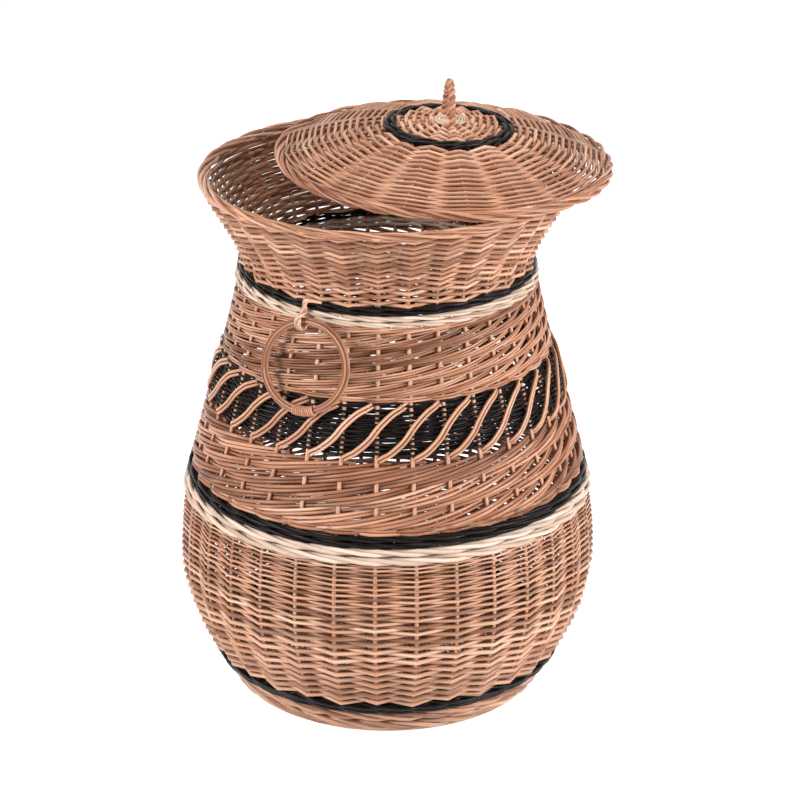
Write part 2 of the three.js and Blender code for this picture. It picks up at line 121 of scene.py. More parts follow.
def makeRodEffect():
    tree = bpy.data.node_groups.new("willowRod", "ShaderNodeTree")
    for name in ("Dark", "Body", "Light"):
        tree.interface.new_socket(name, in_out="INPUT", socket_type="NodeSocketColor")
    for name in ("Tone Spread", "Streaks", "Flecks", "Gloss", "PaintedShade"):
        tree.interface.new_socket(name, in_out="INPUT", socket_type="NodeSocketFloat")
    tree.interface.new_socket("Color", in_out="OUTPUT", socket_type="NodeSocketColor")
    tree.interface.new_socket("Roughness", in_out="OUTPUT", socket_type="NodeSocketFloat")
    tree.interface.new_socket("Height", in_out="OUTPUT", socket_type="NodeSocketFloat")
    into = addNode(tree, "NodeGroupInput").outputs
    out = addNode(tree, "NodeGroupOutput").inputs
    tone = addNode(tree, "ShaderNodeAttribute", attribute_name="rodTone").outputs["Fac"]
    spot = addNode(tree, "ShaderNodeAttribute", attribute_name="rodPlace").outputs["Vector"]
    streak = rodNoise(tree, spot, **willow["streaks"])
    patch = rodNoise(tree, spot, **willow["patches"])
    fleck = rodNoise(tree, spot, **willow["flecks"])
    toneShare = mathNode(tree, "MULTIPLY", tone, into["Tone Spread"])
    streakShare = mathNode(tree, "MULTIPLY", mathNode(tree, "SUBTRACT", streak, 0.5), into["Streaks"])
    patchShare = mathNode(tree, "MULTIPLY", mathNode(tree, "SUBTRACT", patch, 0.5), willow["patchShare"])
    level = mathNode(tree, "ADD", mathNode(tree, "ADD", toneShare, streakShare), patchShare)
    lower = mathNode(tree, "MULTIPLY_ADD", level, 2.0, 1.0, clamp=True)  # dark at -0.5, body at 0
    upper = mathNode(tree, "MULTIPLY", level, 2.0, clamp=True)  # body at 0, light at 0.5
    colour = mixColour(tree, lower, into["Dark"], into["Body"])
    colour = mixColour(tree, upper, colour, into["Light"])
    dot = mathNode(tree, "SUBTRACT", fleck, willow["fleckFrom"])
    dot = mathNode(tree, "MULTIPLY", dot, willow["fleckEdge"], clamp=True)
    dot = mathNode(tree, "MULTIPLY", dot, into["Flecks"])
    colour = mixColour(tree, dot, colour, into["Dark"])
    # Painted shade: the colour is darkened along the rods' sides, where the neighbouring rods lie, for the
    # shade between rods
    paintedShade = addNode(tree, "ShaderNodeAttribute", attribute_name="rodPaintedShade").outputs["Fac"]
    paintedShadeShare = mathNode(tree, "MULTIPLY", paintedShade, into["PaintedShade"])
    colour = mixColour(tree, paintedShadeShare, colour, willow["paintedShade"], "MULTIPLY")
    roughShare = mathNode(tree, "MULTIPLY", streak, willow["streakRoughness"])
    rough = mathNode(tree, "ADD", into["Gloss"], roughShare)
    height = mathNode(tree, "ADD", streak, mathNode(tree, "MULTIPLY", dot, willow["fleckHeight"]))
    tree.links.new(colour, out["Color"])
    tree.links.new(rough, out["Roughness"])
    tree.links.new(height, out["Height"])
    return tree


rodEffect = makeRodEffect()


def makeWillow(name, dark, body, light, spread, streaks, flecks, gloss, shine, paintedShade=1.0):
    material = bpy.data.materials.new(name)
    material.use_nodes = True
    tree = material.node_tree
    shader = tree.nodes["Principled BSDF"]
    group = addNode(tree, "ShaderNodeGroup", node_tree=rodEffect)
    for socket, colour in (("Dark", dark), ("Body", body), ("Light", light)):
        group.inputs[socket].default_value = (*colour, 1.0)
    group.inputs["Tone Spread"].default_value = spread
    group.inputs["Streaks"].default_value = streaks
    group.inputs["Flecks"].default_value = flecks
    group.inputs["Gloss"].default_value = gloss
    # how much of the painted shade between rods this finish takes
    group.inputs["PaintedShade"].default_value = paintedShade
    bump = addNode(tree, "ShaderNodeBump")
    bump.inputs["Strength"].default_value = willow["bumpStrength"]
    bump.inputs["Distance"].default_value = willow["bumpDistance"]
    tree.links.new(group.outputs["Color"], shader.inputs["Base Color"])
    tree.links.new(group.outputs["Roughness"], shader.inputs["Roughness"])
    tree.links.new(group.outputs["Height"], bump.inputs["Height"])
    tree.links.new(bump.outputs["Normal"], shader.inputs["Normal"])
    shader.inputs["Specular IOR Level"].default_value = shine
    return material


buff = {
    "slot": "willow_buff",
    "material": makeWillow(
        "willowBuff", (0.25, 0.092, 0.046), (0.55, 0.278, 0.168), (0.80, 0.540, 0.385),
        spread=0.24, streaks=1.0, flecks=0.25, gloss=0.14, shine=0.22),
}
black = {
    "slot": "willow_black",
    "material": makeWillow(
        "willowBlack", (0.004, 0.0025, 0.0025), (0.010, 0.0068, 0.0062), (0.030, 0.021, 0.020),
        spread=0.3, streaks=0.8, flecks=0.2, gloss=0.16, shine=0.1),
}
white = {
    "slot": "willow_white",
    "material": makeWillow(
        "willowWhite", (0.48, 0.335, 0.230), (0.68, 0.520, 0.415), (0.75, 0.615, 0.520),
        # the white rods take less of the painted shade between rods
        spread=0.3, streaks=0.9, flecks=0.3, gloss=0.3, shine=0.15, paintedShade=0.45),
}
print("willow finishes made")

# Rods: every woven piece is a set of them

rodMesh = {"sides": 8, "weld": 1e-6, "smoothAngle": 75.0, "stripEdge": 0.04}


def rod(points, thick, closed=False, taper=0.0, tone=0.0, outward=(0, 0, 0)):
    points = np.asarray(points, float)
    grow = 1 + taper * np.linspace(0.5, -0.5, len(points))
    outward = np.broadcast_to(outward, points.shape)
    return {"points": points, "radius": thick / 2 * grow, "closed": closed, "tone": tone, "outward": outward}


def perRing(item, values):
    if item["closed"]:
        return values
    return np.concatenate([values[-1:], values[:1], values])  # the two caps come first


def rodRings(item):
    points = item["points"]
    sides = rodMesh["sides"]
    steps = np.linalg.norm(np.diff(points, axis=0), axis=1)
    along = np.concatenate([[0], np.cumsum(steps)])
    turn = 2 * np.pi * np.arange(sides) / sides
    rings = np.empty((len(points), sides, 3))
    rings[:, :, 0] = along[:, None]
    rings[:, :, 1] = item["radius"][:, None] * np.cos(turn)
    rings[:, :, 2] = item["radius"][:, None] * np.sin(turn)
    rings = perRing(item, rings).reshape(-1, 3) * mm
    rings[:, 0] += rng.uniform(0, willow["placeSpread"])
    return rings


# Painted shade: a vertex is the darker the more its normal turns across the rod's outward direction, so the
# sides towards the neighbouring rods carry the shade between rods
def sidePaintedShade(mesh, rods):
    normals = np.empty(3 * len(mesh.vertices), np.float32)
    mesh.vertex_normals.foreach_get("vector", normals)
    outward = np.concatenate([perRing(item, item["outward"]) for item in rods])
    outward = np.repeat(outward, rodMesh["sides"], axis=0)
    length = np.linalg.norm(outward, axis=1)
    facing = np.abs((normals.reshape(-1, 3) * outward).sum(axis=1)) / np.maximum(length, 1e-6)
    return np.where(length > 0, np.clip(1 - facing / willow["paintedShadeReach"], 0, 1), 0)


def layStrips(mesh, rodOf, count):
    layer = mesh.uv_layers[0]
    layer.name = "OFBake"  # one strip of the map for each rod
    spots = np.empty(2 * len(mesh.loops), np.float32)
    layer.data.foreach_get("uv", spots)
    corners = np.empty(len(mesh.loops), np.int32)
    mesh.loops.foreach_get("vertex_index", corners)
    spots = spots.reshape(-1, 2)
    edge = rodMesh["stripEdge"]
    spots[:, 1] = (rodOf[corners] + edge + (1 - 2 * edge) * spots[:, 1]) / count
    layer.data.foreach_set("uv", spots.ravel())


def makeRods(name, rods, finish):
    bpy.ops.object.select_all(action="DESELECT")
    bpy.ops.curve.primitive_nurbs_path_add(location=(0, 0, 0))
    piece = bpy.context.object
    piece.name = name
    line = piece.data
    line.splines.clear()
    line.dimensions = "3D"
    line.bevel_depth = mm
    line.bevel_resolution = rodMesh["sides"] // 2 - 2
    line.use_fill_caps = True
    for item in rods:
        spline = line.splines.new("POLY")
        spline.points.add(len(item["points"]) - 1)
        places = np.ones((len(item["points"]), 4))
        places[:, :3] = item["points"] * mm
        spline.points.foreach_set("co", places.ravel())
        spline.points.foreach_set("radius", item["radius"])
        spline.use_cyclic_u = item["closed"]
    bpy.ops.object.convert(target="MESH")
    mesh = piece.data
    rings = [rodRings(item) for item in rods]
    rodOf = np.repeat(np.arange(len(rods)), [len(ring) for ring in rings])
    tones = np.array([item["tone"] for item in rods])
    mesh.attributes.new("rodTone", "FLOAT", "POINT").data.foreach_set("value", tones[rodOf])
    # painted shade along the rods' sides, kept per vertex
    paintedShades = sidePaintedShade(mesh, rods)
    mesh.attributes.new("rodPaintedShade", "FLOAT", "POINT").data.foreach_set("value", paintedShades)
    spots = mesh.attributes.new("rodPlace", "FLOAT_VECTOR", "POINT")
    spots.data.foreach_set("vector", np.concatenate(rings).ravel())
    layStrips(mesh, rodOf, len(rods))
    bpy.ops.object.mode_set(mode="EDIT")
    bpy.ops.mesh.select_all(action="SELECT")
    bpy.ops.mesh.remove_doubles(threshold=rodMesh["weld"])
    bpy.ops.mesh.normals_make_consistent(inside=False)
    bpy.ops.object.mode_set(mode="OBJECT")
    bpy.ops.object.shade_smooth_by_angle(angle=math.radians(rodMesh["smoothAngle"]))
    mesh.materials.append(finish["material"])
    return piece


def weavePiece(node, rods, finish, body="basket"):
    piece = makeRods(f"{node}_rods", rods, finish)
    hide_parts(node)
    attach(piece, body)
    print("made", piece.name, len(piece.data.polygons), "faces")


def throughPoints(points, steps):
    points = np.asarray(points, float)
    p = np.vstack([2 * points[0] - points[1], points, 2 * points[-1] - points[-2]])
    t = (np.arange(steps) / steps)[:, None]
    line = []
    for a, b, c, d in zip(p, p[1:], p[2:], p[3:]):  # Catmull-Rom
        line.append(b + 0.5 * t * ((c - a) + t * (2 * a - 5 * b + 4 * c - d + t * (3 * b - a - 3 * c + d))))
    return np.vstack([*line, points[-1:]])


# Jar: the wall that the stakes follow, in millimetres

jar = {
    "footRadius": 168.0, "bellyRadius": 230.5, "neckRadius": 158.8, "rimRadius": 202.0,
    "bellyLevel": 157.0, "shoulderEndSlope": 0.6, "collarEndSlope": 0.9,
    "stakes": 32, "firstStake": -93.3, "stakeThick": 5.0,
    "straighten": 0.5,  # how much a rod cuts the corner between two stakes
    "rowSamples": 400, "rowLeft": 0.4,  # a strip narrower than this gets no row
    # how far the stakes stand out from the wall line, by height: in where the weavers are thick
    "lineLevels": (37, 48, 130, 200, 231, 242, 262, 343, 374, 440, 487, 504, 590),
    "lineOut": (-1.0, -1.5, -1.5, 0.3, 0.8, -0.5, -0.4, -0.4, 0.6, 0.5, 0.2, -0.4, -0.9),
}


def bandLevels(node):
    low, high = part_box(node)
    return low.z / mm, high.z / mm


neckLevel = bandLevels("neck_band_black")[1]
rimLevel = sum(bandLevels("rim_border")) / 2


def ease(start, end, u, endSlope):
    u = np.clip(u, 0, 1)
    return start + (end - start) * (3 * u**2 - 2 * u**3 + endSlope * (u**3 - u**2))


def jarRadius(z):
    z = np.asarray(z, float)
    swell = np.sin(np.pi / 2 * np.clip(z / jar["bellyLevel"], -1, 1))
    belly = jar["footRadius"] + (jar["bellyRadius"] - jar["footRadius"]) * swell
    rise = (z - jar["bellyLevel"]) / (neckLevel - jar["bellyLevel"])
    shoulder = ease(jar["bellyRadius"], jar["neckRadius"], rise, jar["shoulderEndSlope"])
    flare = (z - neckLevel) / (rimLevel - neckLevel)
    collar = ease(jar["neckRadius"], jar["rimRadius"], flare, jar["collarEndSlope"])
    return np.where(z < jar["bellyLevel"], belly, np.where(z < neckLevel, shoulder, collar))


def wallSurface(angle, z, out):
    slope = jarRadius(z + 0.5) - jarRadius(z - 0.5)
    tilt = np.sqrt(1 + slope**2)
    out = out + np.interp(z, jar["lineLevels"], jar["lineOut"])
    r = jarRadius(z) + out / tilt
    return np.stack([r * np.cos(angle), r * np.sin(angle), z - out * slope / tilt], axis=-1)


def wallRows(low, high, pitchAt):
    z = np.linspace(low, high, jar["rowSamples"])
    arc = np.concatenate([[0], np.cumsum(np.hypot(np.diff(z), np.diff(jarRadius(z))))])
    levels, pitches = [], []
    reach = 0.0
    while reach < arc[-1] - jar["rowLeft"]:
        pitch = float(pitchAt(np.interp(reach, arc, z)))
        levels.append(float(np.interp(reach + pitch / 2, arc, z)))
        pitches.append(pitch)
        reach += pitch
    return levels, np.array(pitches)


def wallBow(level):
    return 0.0, -jar["straighten"] * jarRadius(level) * (1 - math.cos(math.pi / jar["stakes"]))


wall = {
    "surface": wallSurface, "stakes": jar["stakes"], "first": math.radians(jar["firstStake"]),
    "stakeThick": jar["stakeThick"], "steps": 2, "bow": wallBow,
}


def groundAngle(ground, stake):
    return ground["first"] + 2 * np.pi * np.asarray(stake) / ground["stakes"]


# Weaves on any ground: over and under its stakes

randRods = {"toneSpread": 0.45, "thickSpread": 0.03, "taper": 0.06, "tail": 0.3, "tailIn": 0.25}
waleRods = {
    "rounds": 2, "levels": (0.5, 0.75, 0.25),  # shares of a round: behind, in front above, in front below
    "early": 1,  # stakes, to fill the place where the first round steps up
    "steps": 3, "rodSteps": 33, "toneSpread": 0.45, "taper": 0.05,
}
slewRods = {
    "butt": (-1.6, -1.4), "tip": 0.6, "steps": 3, "toneSpread": 0.65, "thickSpread": 0.04, "taper": 0.12,
}


def layRod(ground, line, thick, **looks):
    stake, height, out = np.asarray(line, float).T
    angle = groundAngle(ground, stake)
    points = ground["surface"](angle, height, out)
    return rod(points, thick, outward=ground["surface"](angle, height, out + 1) - points, **looks)


def randing(ground, levels, thicks, side=0, loose=0.05, tone=0.0):
    rods = []
    count = ground["stakes"]
    for row, (level, thick) in enumerate(zip(levels, thicks)):
        start = 2 * int(rng.integers(count // 2)) + (row + side) % 2  # a stake that the row goes behind
        middle = start + 2 * int(rng.integers(count // 5, count // 3))
        for begin, end in ((start, middle), (middle, start + count)):  # two rods to a row
            rodTone = rng.normal(tone, randRods["toneSpread"])
            rods.append(randRod(ground, begin, end, level, thick, loose, rodTone))
    return rods


def randRod(ground, begin, end, level, thick, loose, tone):
    steps = ground["steps"]
    stake = np.arange(begin * steps, end * steps + 1) / steps
    swing = (ground["stakeThick"] + thick) / 2
    part = (stake - begin) % 2
    out = swing * (1 - 2 * np.abs(1 - part))
    hang = 4 * (stake % 1) * (1 - stake % 1)
    bowLevel, bowOut = ground["bow"](level)
    out = out + bowOut * hang
    height = level + bowLevel * hang + rng.normal(0, loose * thick, len(stake)) + rng.normal(0, loose * thick)
    tail, tailIn = randRods["tail"], randRods["tailIn"] * thick
    stake = np.concatenate([[begin - tail], stake, [end + tail]])
    out = np.concatenate([[out[0] - tailIn], out, [out[-1] - tailIn]])
    height = np.concatenate([height[:1], height, height[-1:]])
    line = np.stack([stake, height, out], axis=1)
    thick = thick * (1 + rng.normal(0, randRods["thickSpread"]))
    return layRod(ground, line, thick, taper=randRods["taper"], tone=tone)


def wale(ground, low, high, thick, startStake, loose=0.05, tone=0.0):
    rods = []
    count = ground["stakes"]
    rounds, early, rodSteps = waleRods["rounds"], waleRods["early"], waleRods["rodSteps"]
    perRound = (high - low) / rounds
    swing = (ground["stakeThick"] + thick) / 2
    for weaver in range(3):
        j = np.arange(-early, rounds * count + 1)
        phase = (j + weaver) % 3
        turn = j / count
        climb = np.floor(turn) + np.clip((turn % 1 - 1) * count / 2 + 1, 0, 1)  # in the last two stakes
        climb = np.clip(climb, 0, rounds - 1)
        height = low + perRound * (climb + np.choose(phase, waleRods["levels"]))
        height[early:] += rng.normal(0, loose * thick, rounds * count + 1)
        out = np.where(phase == 0, -swing, swing)
        line = throughPoints(np.stack([j + startStake, height, out], axis=1), waleRods["steps"])
        for begin in range(0, len(line) - 1, rodSteps):  # a new rod now and then
            part = line[begin:begin + rodSteps + 1]
            rodTone = rng.normal(tone, waleRods["toneSpread"])
            rods.append(layRod(ground, part, thick, taper=waleRods["taper"], tone=rodTone))
    return rods


def slew(ground, weave, loose=0.05):
    rods = []
    thick = weave["thick"]
    swing = weave["press"] * (ground["stakeThick"] + thick) / 2
    last = weave["stakes"]
    j = np.concatenate([slewRods["butt"], np.arange(-1, last), [last - slewRods["tip"]]])
    out = np.where(np.round(j) % 3 == 0, -swing, swing)  # behind every third stake
    out[:2] = (-swing, -0.5 * swing)  # the butt comes from the inside
    for first in range(ground["stakes"]):
        sway = rng.normal(0, loose * thick)
        for half in (-0.5, 0.5):  # the rods lie in pairs
            height = weave["from"] + weave["rise"] * (j + half / 2)
            height = np.clip(height, weave["low"] + half * thick, weave["to"] + half * thick)
            height = height + sway + rng.normal(0, loose * thick, len(j))
            line = throughPoints(np.stack([first + j, height, out], axis=1), slewRods["steps"])
            tone = rng.normal(weave["tone"], slewRods["toneSpread"])
            rodThick = thick * (1 + rng.normal(0, slewRods["thickSpread"]))
            rods.append(layRod(ground, line, rodThick, taper=slewRods["taper"], tone=tone))
    return rods


def cutEnds(ground, ends, low, high):
    rods = []
    for i in range(ends["count"]):
        stake = ground["stakes"] * (i + rng.uniform(*ends["place"])) / ends["count"]
        level = rng.uniform(low + ends["lowUp"], high + ends["highUp"])
        line = [(stake, level, ends["outFrom"]), (stake + ends["lean"], level, ends["outTo"])]
        rods.append(layRod(ground, line, ends["thick"], tone=ends["tone"]))
    return rods


# Wall bands, from the foot up

backStake = 16  # rounds of wale start and step up at the back
wales = {
    "foot_band_black": {"thick": 4.4, "finish": black},
    "belly_band_white": {"thick": 5.2, "finish": white},
    "belly_band_black": {"thick": 4.2, "finish": black},
    "neck_band_white": {"thick": 3.6, "finish": white},
    "neck_band_black": {"thick": 3.2, "finish": black},
}
belly = {"lowPitch": 4.95, "highPitch": 2.1, "taperFrom": 130.0, "taperTo": 231.0, "fill": 1.04, "tone": 0.22}
lowerSlew = {
    "from": 263.3, "rise": 8.4, "low": 266.6, "to": 335.5, "stakes": 10,
    "thick": 4.3, "press": 0.8, "tone": -0.8,
}
upperSlew = {
    "from": 406.0, "rise": 5.5, "low": 404.5, "to": 480.0, "stakes": 15,
    "thick": 2.75, "press": 0.8, "tone": -0.5,
}
openBand = {
    "pitch": 2.5, "thick": 3.05, "lowRow": 346.5, "highRow": 395.0, "loneRows": (397.7, 401.2), "loose": 0.07,
}
collar = {"pitch": 4.1, "thick": 4.55, "lowered": 1.5, "raised": 7.5, "loose": 0.03}
neckEnds = {
    "count": 9, "thick": 3.2, "place": (0.2, 0.8), "lowUp": 1.0, "highUp": 4.0,
    "outFrom": 1.0, "outTo": 6.5, "lean": 0.06, "tone": -0.1,
}


def bellyPitch(z):
    return np.interp(z, (belly["taperFrom"], belly["taperTo"]), (belly["lowPitch"], belly["highPitch"]))


for node, weave in wales.items():
    low, high = bandLevels(node)
    rods = wale(wall, low, high, weave["thick"], backStake)
    if node == "neck_band_white":
        rods += cutEnds(wall, neckEnds, low, high)
    weavePiece(node, rods, weave["finish"])

side = 0
for node in ("belly_weave_lower", "belly_weave_upper"):
    levels, pitches = wallRows(*bandLevels(node), bellyPitch)
    weavePiece(node, randing(wall, levels, belly["fill"] * pitches, side, tone=belly["tone"]), buff)
    side += len(levels)

weavePiece("shoulder_weave_lower", slew(wall, lowerSlew), buff)
weavePiece("shoulder_weave_upper", slew(wall, upperSlew), buff)

levels = [*np.arange(openBand["lowRow"], openBand["highRow"], openBand["pitch"]), *openBand["loneRows"]]
rods = randing(wall, levels, [openBand["thick"]] * len(levels), loose=openBand["loose"])
weavePiece("open_band_black", rods, black)

low, high = bandLevels("collar_weave")
levels = wallRows(low - collar["lowered"], high + collar["raised"], lambda z: collar["pitch"])[0]
rods = randing(wall, levels, [collar["thick"]] * len(levels), loose=collar["loose"])
weavePiece("collar_weave", rods, buff)

# Stakes, each with the pair of braces that leaves it across the open band

upright = {"foot": 38.0, "step": 9.0, "taper": 0.1, "tone": 0.4, "toneSpread": 0.25}
brace = {
    "thick": 3.6, "pairGap": 0.5, "low": 343.0, "high": 399.0, "steps": 4, "tone": -0.1, "toneGap": 0.5,
    # stakes along, share of the height from low to high, millimetres out from the stake line
    "route": (
        (0.0, -0.05, -3.0), (0.107, 0.0, 3.2), (0.22, 0.05, 5.8), (0.406, 0.125, 6.8), (0.77, 0.347, 7.0),
        (1.07, 0.611, 7.0), (1.41, 0.833, 6.6), (1.66, 0.935, 5.2), (1.84, 1.0, 2.0), (1.93, 1.02, -2.5),
    ),
}


def stakeRods():
    z = np.arange(upright["foot"], bandLevels("collar_weave")[1], upright["step"])
    line = np.stack([0 * z, z, 0 * z], axis=1)
    rods = [layRod(wall, line, jar["stakeThick"], taper=upright["taper"], tone=upright["tone"])]
    line = throughPoints(brace["route"], brace["steps"])
    z = brace["low"] + (brace["high"] - brace["low"]) * line[:, 1]
    angle = groundAngle(wall, line[:, 0])
    middle = wallSurface(angle, z, line[:, 2])
    ahead = np.gradient(middle, axis=0)
    outward = np.stack([np.cos(angle), np.sin(angle), np.zeros(len(z))], axis=1)
    across = np.cross(outward, ahead)
    across /= np.linalg.norm(across, axis=1)[:, None]
    for half in (-0.5, 0.5):
        points = middle + half * (brace["thick"] + brace["pairGap"]) * across
        tone = brace["tone"] + half * brace["toneGap"]
        rods.append(rod(points, brace["thick"], tone=tone, outward=outward))
    return rods


pattern = makeRods("stake_01_rods", stakeRods(), buff)
for k in range(jar["stakes"]):
    stake = pattern
    if k > 0:
        stake = pattern.copy()
        stake.data = pattern.data.copy()
        stake.name = f"stake_{k + 1:02d}_rods"
        bpy.context.collection.objects.link(stake)
        stake.data.transform(Matrix.Rotation(2 * math.pi * k / jar["stakes"], 4, "Z"))
        tones = np.empty(len(stake.data.vertices), np.float32)
        stake.data.attributes["rodTone"].data.foreach_get("value", tones)
        tones = tones + rng.normal(0, upright["toneSpread"])
        stake.data.attributes["rodTone"].data.foreach_set("value", tones)
    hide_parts(f"stake_{k + 1:02d}")
    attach(stake, "basket")
print("stakes made:", jar["stakes"])

# Borders: rolled at the rim and the lid, thick wale at the foot

roll = {
    # the core rod is painted dark, as the shade seen in the gaps between the strands
    "points": 17, "tuck": 7.0, "bulge": 0.9, "taper": 0.25, "coreShadeTone": -2.0,
    "angleSpread": 0.08, "waveSpread": 0.4, "reachSpread": 0.3, "thickSpread": 0.06, "toneSpread": 0.6,
}
rimBorder = {
    "rods": 32, "span": 4.3, "thick": 4.0, "reach": 5.0, "turnFrom": 225, "turnTo": -65,
    "core": 5.6, "tone": 0.0,
}
lidBorder = {
    "rods": 32, "span": 4.3, "thick": 4.2, "reach": 5.1, "turnFrom": 220, "turnTo": -70,
    # the lid border's darker tone is painted shade over the whole border, for its back edge that lies in
    # shade
    "core": 6.0, "tone": -0.7,
}
footBorder = {
    "low": 3.2, "high": 36.0, "thick": 6.4, "swing": 2.8, "loose": 0.03, "tone": 0.6,
    "edgeThick": 7.4, "edgeLevel": 3.9, "edgeOut": -0.5, "edgeTone": 0.1,
    "innerLevels": (5.0, 11.0, 17.0, 23.0, 29.0, 35.0, 40.0), "innerThick": 7.5, "innerOut": -7.5,
    # the inner rings get a dark tone as painted shade, for the shade behind the wale
    "innerShadeTone": -1.5,
}


def circle(radius, level, count=96):
    angle = np.linspace(0, 2 * np.pi, count, endpoint=False)
    return np.stack([radius * np.cos(angle), radius * np.sin(angle), 0 * angle + level], axis=1)


def rolledBorder(ring, border):
    rods = [rod(circle(ring, 0.0), border["core"], closed=True, tone=roll["coreShadeTone"])]
    t = np.linspace(0, 1, roll["points"])
    tuck = np.clip(np.minimum(t, 1 - t) * roll["tuck"], 0, 1)  # the ends lie deeper
    turn = np.radians(border["turnFrom"] + (border["turnTo"] - border["turnFrom"]) * t)
    for i in range(border["rods"]):
        place = i + border["span"] * t + rng.normal(0, roll["angleSpread"])
        angle = 2 * np.pi * place / border["rods"]
        wave = np.pi * border["span"] * t + rng.uniform(-roll["waveSpread"], roll["waveSpread"])
        bulge = roll["bulge"] * np.sin(wave)
        reach = border["reach"] * (1 + tuck) / 2 + bulge * tuck + rng.normal(0, roll["reachSpread"])
        r = ring + reach * np.cos(turn)
        points = np.stack([r * np.cos(angle), r * np.sin(angle), reach * np.sin(turn)], axis=1)
        outward = points - ring * np.stack([np.cos(angle), np.sin(angle), 0 * angle], axis=1)
        thick = border["thick"] * (1 + rng.normal(0, roll["thickSpread"]))
        tone = rng.normal(border["tone"], roll["toneSpread"])
        rods.append(rod(points, thick, taper=roll["taper"], tone=tone, outward=outward))
    return rods


def movedRods(rods, matrix):
    turn = np.array(matrix.to_3x3())
    shift = np.array(matrix.translation)
    for item in rods:
        item["points"] = item["points"] @ turn.T + shift
        item["outward"] = item["outward"] @ turn.T
    return rods


rimPlace = Matrix.Translation((0, 0, rimLevel))
weavePiece("rim_border", movedRods(rolledBorder(jar["rimRadius"], rimBorder), rimPlace), buff)

footGround = {**wall, "stakeThick": 2 * footBorder["swing"] - footBorder["thick"]}
rods = wale(
    footGround, footBorder["low"], footBorder["high"], footBorder["thick"], backStake,
    loose=footBorder["loose"], tone=footBorder["tone"])
edgeRadius = float(jarRadius(footBorder["edgeLevel"])) + footBorder["edgeOut"]
edge = circle(edgeRadius, footBorder["edgeLevel"])
rods.append(rod(edge, footBorder["edgeThick"], closed=True, tone=footBorder["edgeTone"]))
for level in footBorder["innerLevels"]:  # the laid-down stake ends close the border inside; their dark tone is painted shade in the border's gaps
    inner = circle(float(jarRadius(level)) + footBorder["innerOut"], level)
    rods.append(rod(inner, footBorder["innerThick"], closed=True, tone=footBorder["innerShadeTone"]))
weavePiece("foot_border", rods, buff)

# Crossed sticks of the base and of the lid

crossing = {
    "stakes": 16, "perBundle": 4, "points": 45, "fanOver": 12.0, "lift": 0.9, "tone": 0.3,
    "straighten": 0.6,  # how much a rod cuts the corner between two sticks
}
crossBinding = {
    "points": 64, "clearance": 1.6, "clearTo": 22.0, "clearOver": 12.0,  # more room where the bundles cross
    "steep": 1.7, "square": 0.05, "tone": -0.7, "toneSpread": 0.5,
}
halfStep = math.pi / crossing["stakes"]  # between two sticks of the fan


def slath(cross, turn, reach, levelOf):
    rods = []
    thick = cross["stickThick"]
    for bundle in range(2):
        for i in range(crossing["perBundle"]):
            spread = i - (crossing["perBundle"] - 1) / 2
            aim = 2 * halfStep * spread
            line = []
            for r in np.linspace(-reach, reach, crossing["points"]):
                way = abs(r)
                share = np.clip((way - cross["flat"]) / crossing["fanOver"], 0, 1)
                start = np.array([way, spread * cross["apart"]])
                fan = np.array([way * math.cos(aim), way * math.sin(aim)])
                x, y = start * (1 - share) + fan * share
                lift = (0.5 - bundle) * thick * crossing["lift"] * (1 - share)
                line.append((math.copysign(x, r), y, levelOf(way) + lift))
            points = np.array(line) @ np.array(Matrix.Rotation(turn + math.pi / 2 * bundle, 3, "Z")).T
            rods.append(rod(points, thick, tone=crossing["tone"], outward=(0, 0, 1)))
    return rods


def bindingRows(ground, cross):
    rods = []
    thick = cross["bindingThick"]
    angle = np.linspace(0, 2 * np.pi, crossBinding["points"], endpoint=False)
    for r in cross["bindings"]:
        room = np.clip((crossBinding["clearTo"] - r) / crossBinding["clearOver"], 0, 1)
        swing = (cross["stickThick"] + thick) / 2 + crossBinding["clearance"] * room
        for side in (-1, 1):  # a pair of rods crosses between the bundles
            out = side * swing * np.clip(crossBinding["steep"] * np.sin(2 * angle), -1, 1)
            square = r * (1 + crossBinding["square"] * np.cos(4 * angle))
            line = np.stack([angle * ground["stakes"] / (2 * np.pi), square, out], axis=1)
            tone = rng.normal(crossBinding["tone"], crossBinding["toneSpread"])
            rods.append(layRod(ground, line, thick, closed=True, tone=tone))
    return rods


def ringBow(level):
    return -crossing["straighten"] * level * (1 - math.cos(halfStep)), 0.0


base = {
    "turn": 5.0, "stickThick": 3.0, "apart": 3.6, "flat": 11.0, "pitch": 3.4, "thick": 4.25,
    "bindings": (12.5, 15.2, 17.9, 20.6, 23.3), "bindingThick": 2.4, "weaveFrom": 24.5,
}
baseLow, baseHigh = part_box("base_weave")
baseMiddle = (baseLow.z + baseHigh.z) / 2 / mm
baseReach = baseHigh.x / mm


def baseSurface(angle, r, out):
    return np.stack([r * np.cos(angle), r * np.sin(angle), baseMiddle - out], axis=-1)


baseGround = {
    "surface": baseSurface, "stakes": crossing["stakes"], "first": math.radians(base["turn"]),
    "stakeThick": base["stickThick"], "steps": 4, "bow": ringBow,
}
rods = slath(base, math.radians(base["turn"]) + halfStep, baseReach, lambda r: baseMiddle)
weavePiece("base_sticks", rods + bindingRows(baseGround, base), buff)
levels = np.arange(base["weaveFrom"] + base["pitch"] / 2, baseReach, base["pitch"])
weavePiece("base_weave", randing(baseGround, levels, [base["thick"]] * len(levels)), buff)

# Lid, in its own frame: the middle of its border ring is the origin

